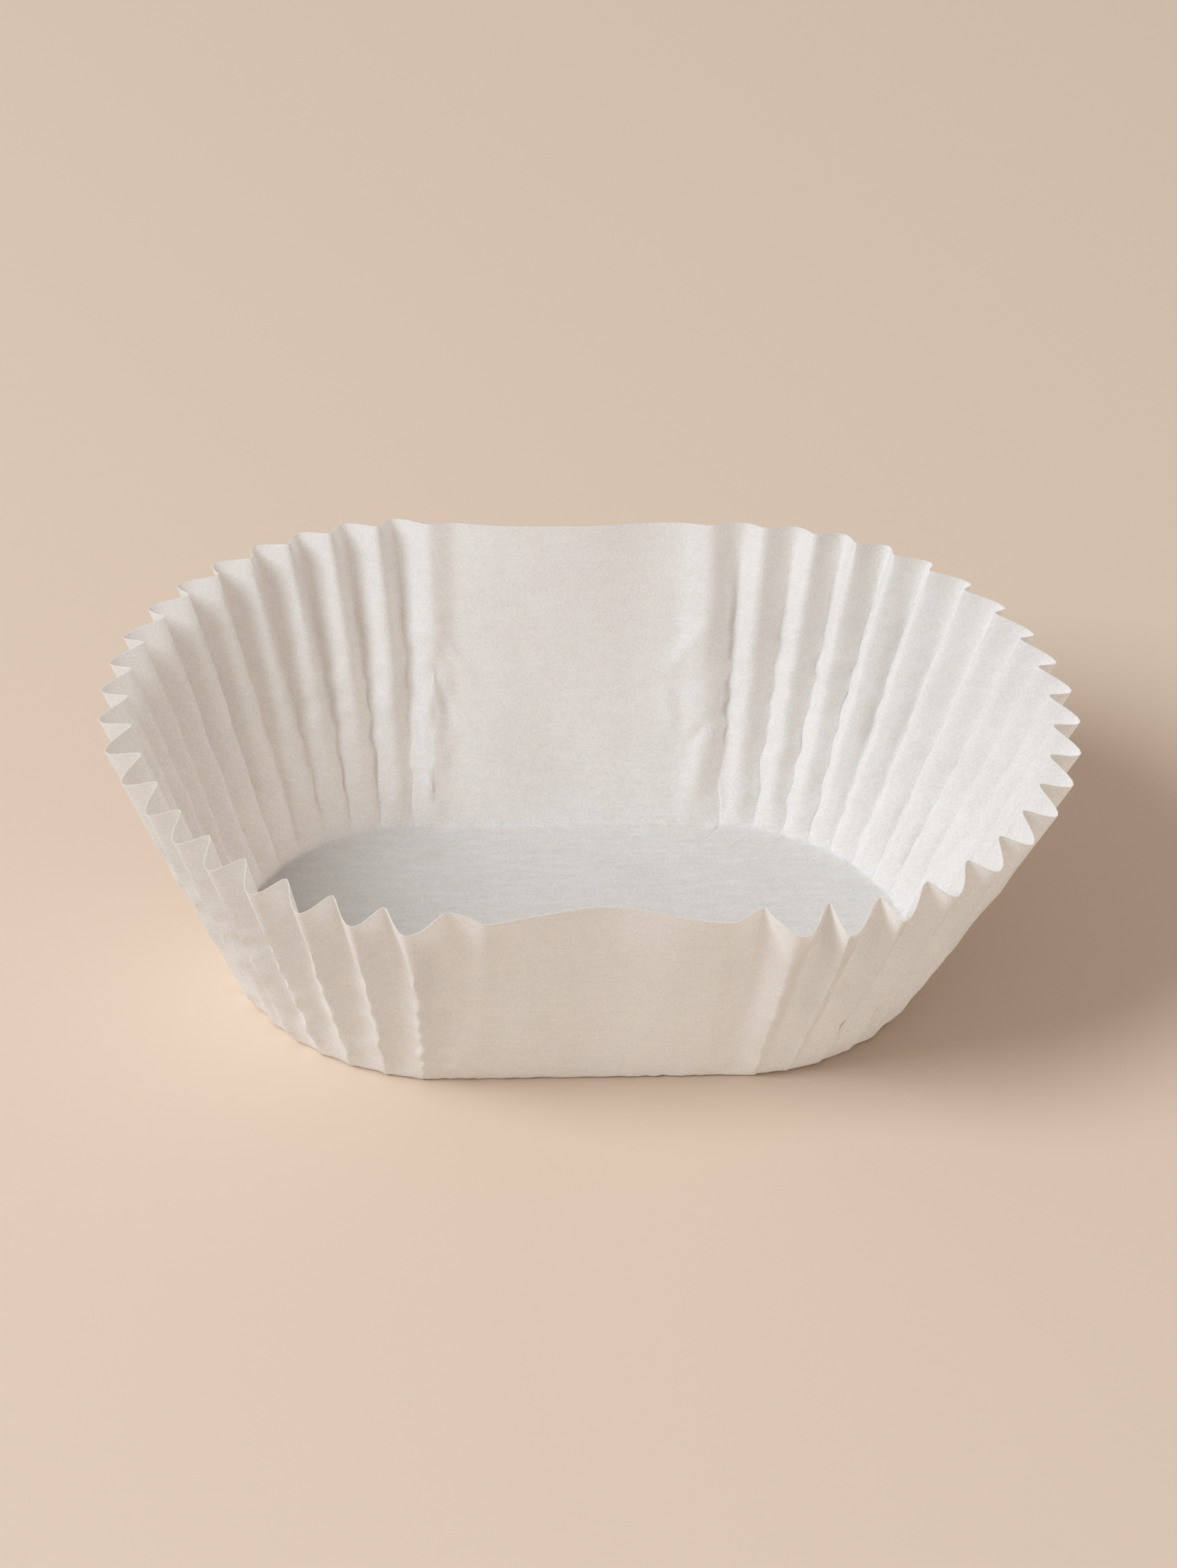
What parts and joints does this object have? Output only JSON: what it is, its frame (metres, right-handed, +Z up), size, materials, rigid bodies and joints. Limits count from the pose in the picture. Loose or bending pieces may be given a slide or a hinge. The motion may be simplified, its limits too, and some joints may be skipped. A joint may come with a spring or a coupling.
{
  "type": "oval paper baking cup",
  "caption": "Oval greaseproof paper baking cup with a flat floor, smooth long sides and pleated flared ends, open at the top.",
  "frame": {"origin": "middle of the floor's underside, on the surface that the cup stands on", "axes": "+X along the cup's length, +Y across it, +Z up out of the open top"},
  "size_m": [0.1196, 0.0829, 0.0384],
  "materials": {
    "paper": "matt off-white greaseproof paper, slightly see-through"
  },
  "bodies": {
    "root": {"paper_cup": "paper"}
  },
  "joints": []
}
